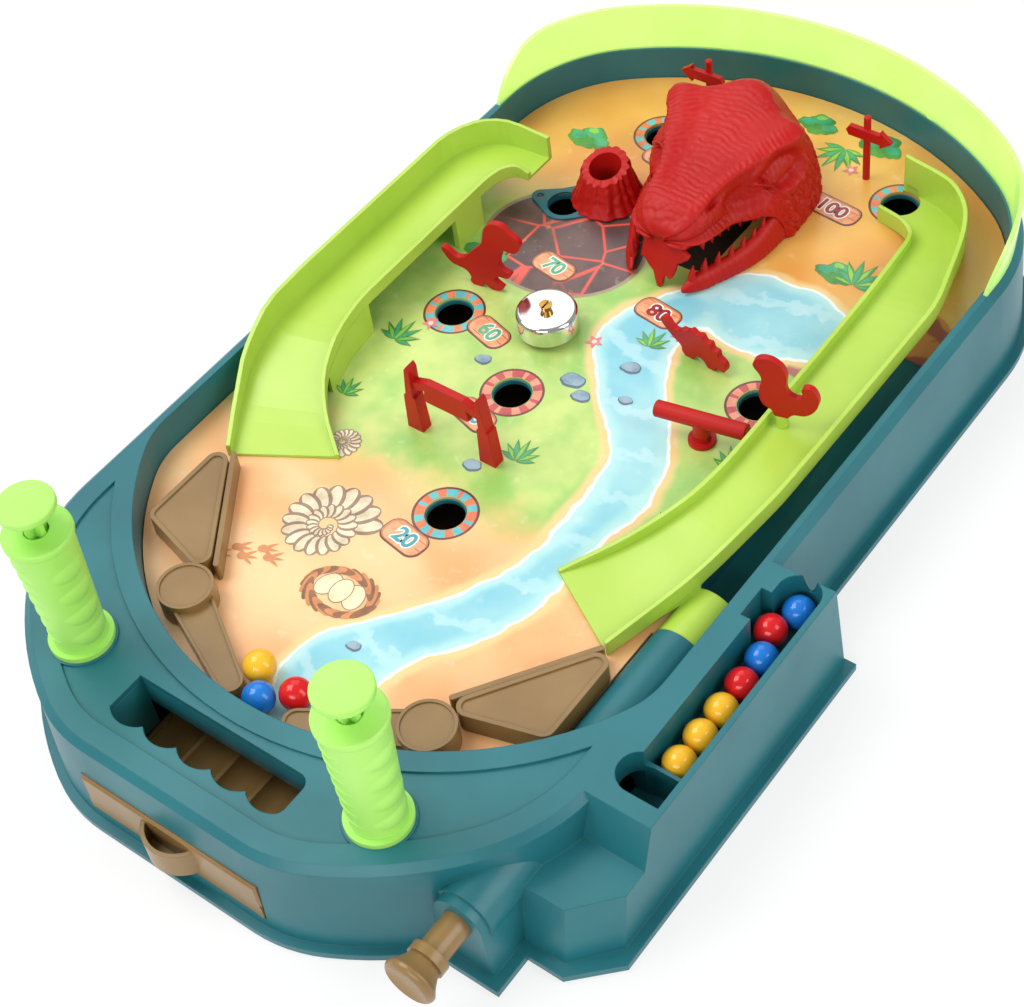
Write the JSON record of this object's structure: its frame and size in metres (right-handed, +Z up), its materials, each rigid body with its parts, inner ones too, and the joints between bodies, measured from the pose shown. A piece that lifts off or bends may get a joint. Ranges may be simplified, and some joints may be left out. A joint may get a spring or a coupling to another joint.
{
  "type": "tabletop pinball game",
  "caption": "Tabletop pinball game with thumb-button flippers on upright handles, a spring plunger, ramps, a bell, dinosaur figures and a ball drawer.",
  "frame": {"origin": "on the resting plane, on the middle plane of the case, midway along its length", "axes": "+Z up, +Y from the player to the back guard, +X to the player's right where the ball tray is"},
  "size_m": [0.3064, 0.5005, 0.1312],
  "materials": {
    "teal_plastic": "moulded, satin sides and gloss rim",
    "printed_board": "printed picture sheet",
    "lime_plastic": "gloss",
    "clear_lime": "translucent gloss",
    "green_plastic": "gloss",
    "brown_plastic": "gloss",
    "red_plastic": "gloss",
    "dark_plastic": "matte, inside",
    "bell_chrome": "polished",
    "pin_brass": "plain",
    "spring_steel": "bright wire",
    "yellow_ball": "gloss",
    "red_ball": "gloss",
    "blue_ball": "gloss"
  },
  "bodies": {
    "body": {"case": "teal_plastic", "side_tray": "teal_plastic", "deck_plate": "teal_plastic", "launch_lane": "teal_plastic", "playfield_board": "printed_board", "base_cover": "teal_plastic", "cover_screws": "spring_steel", "ball_chute": "dark_plastic", "back_guard": "clear_lime", "left_ramp": "lime_plastic", "right_ramp": "lime_plastic", "right_ramp_run": "lime_plastic", "right_ramp_end": "lime_plastic", "left_handle": "green_plastic", "right_handle": "green_plastic", "left_button_spring": "spring_steel", "right_button_spring": "spring_steel", "left_sling": "brown_plastic", "right_sling": "brown_plastic", "left_guide": "brown_plastic", "right_guide": "brown_plastic", "plunger_spring": "spring_steel", "bell": "bell_chrome", "bell_post": "brown_plastic", "bell_pin": "pin_brass", "dinosaur_head": "red_plastic", "volcano": "red_plastic", "volcano_base": "teal_plastic", "trex_figure": "red_plastic", "hatchling_figure": "red_plastic", "stegosaur_figure": "red_plastic", "sauropod_figure": "red_plastic", "gate": "red_plastic", "left_sign": "red_plastic", "right_sign": "red_plastic", "log_stand": "red_plastic"},
    "left_button": {"left_button": "green_plastic"},
    "right_button": {"right_button": "green_plastic"},
    "left_flipper": {"left_flipper": "brown_plastic", "left_drum": "dark_plastic"},
    "right_flipper": {"right_flipper": "brown_plastic", "right_drum": "dark_plastic"},
    "plunger": {"plunger": "brown_plastic"},
    "drawer": {"drawer": "brown_plastic"},
    "log": {"log": "red_plastic"},
    "tray_ball_1": {"tray_ball_1": "yellow_ball"},
    "tray_ball_2": {"tray_ball_2": "yellow_ball"},
    "tray_ball_3": {"tray_ball_3": "yellow_ball"},
    "tray_ball_4": {"tray_ball_4": "red_ball"},
    "tray_ball_5": {"tray_ball_5": "blue_ball"},
    "tray_ball_6": {"tray_ball_6": "red_ball"},
    "tray_ball_7": {"tray_ball_7": "blue_ball"},
    "field_ball_yellow": {"field_ball_yellow": "yellow_ball"},
    "field_ball_blue": {"field_ball_blue": "blue_ball"},
    "field_ball_red": {"field_ball_red": "red_ball"}
  },
  "joints": [
    {"name": "left_button_press", "type": "slide", "parent": "body", "child": "left_button", "axis": [0, 0, -1], "range_m": [0, 0.011], "stiffness_N_per_m": 120, "springref_m": -0.004, "deforming": ["left_button_spring"]},
    {"name": "right_button_press", "type": "slide", "parent": "body", "child": "right_button", "axis": [0, 0, -1], "range_m": [0, 0.011], "stiffness_N_per_m": 120, "springref_m": -0.004, "deforming": ["right_button_spring"]},
    {"name": "left_flipper_swing", "type": "hinge", "parent": "body", "child": "left_flipper", "pos_m": [-0.0622, -0.1529, 0.034], "axis": [0, 0, 1], "range_deg": [-0.5, 43.5]},
    {"name": "right_flipper_swing", "type": "hinge", "parent": "body", "child": "right_flipper", "pos_m": [0.0622, -0.1529, 0.034], "axis": [0, 0, 1], "range_deg": [-43.5, 0.5]},
    {"name": "plunger_pull", "type": "slide", "parent": "body", "child": "plunger", "axis": [0, -1, 0], "range_m": [0, 0.032], "stiffness_N_per_m": 90, "springref_m": -0.006, "deforming": ["plunger_spring"]},
    {"name": "drawer_pull", "type": "slide", "parent": "body", "child": "drawer", "axis": [0, -1, 0], "range_m": [0, 0.045]},
    {"name": "log_spin", "type": "hinge", "parent": "body", "child": "log", "pos_m": [0.0646, 0.0277, 0.034], "axis": [0, 0, 1], "continuous": true},
    {"name": "tray_ball_1_lift", "type": "slide", "parent": "body", "child": "tray_ball_1", "axis": [0, 0, 1], "range_m": [0, 0.03]},
    {"name": "tray_ball_2_lift", "type": "slide", "parent": "body", "child": "tray_ball_2", "axis": [0, 0, 1], "range_m": [0, 0.03]},
    {"name": "tray_ball_3_lift", "type": "slide", "parent": "body", "child": "tray_ball_3", "axis": [0, 0, 1], "range_m": [0, 0.03]},
    {"name": "tray_ball_4_lift", "type": "slide", "parent": "body", "child": "tray_ball_4", "axis": [0, 0, 1], "range_m": [0, 0.03]},
    {"name": "tray_ball_5_lift", "type": "slide", "parent": "body", "child": "tray_ball_5", "axis": [0, 0, 1], "range_m": [0, 0.03]},
    {"name": "tray_ball_6_lift", "type": "slide", "parent": "body", "child": "tray_ball_6", "axis": [0, 0, 1], "range_m": [0, 0.03]},
    {"name": "tray_ball_7_lift", "type": "slide", "parent": "body", "child": "tray_ball_7", "axis": [0, 0, 1], "range_m": [0, 0.03]},
    {"name": "field_ball_blue_lift", "type": "slide", "parent": "body", "child": "field_ball_blue", "axis": [0, 0, 1], "range_m": [0, 0.03]},
    {"name": "field_ball_yellow_roll", "type": "slide", "parent": "body", "child": "field_ball_yellow", "axis": [0, 1, 0], "range_m": [0, 0.056]},
    {"name": "field_ball_red_roll", "type": "slide", "parent": "body", "child": "field_ball_red", "axis": [0, 1, 0], "range_m": [0, 0.056]}
  ],
  "couplings": [
    {"joint": "left_flipper_swing", "follows": "left_button_press", "rad_per_m": 68.227},
    {"joint": "right_flipper_swing", "follows": "right_button_press", "rad_per_m": -68.227},
    {"joint": "field_ball_yellow_roll", "follows": "left_button_press", "ratio": 5},
    {"joint": "field_ball_red_roll", "follows": "right_button_press", "ratio": 5}
  ]
}
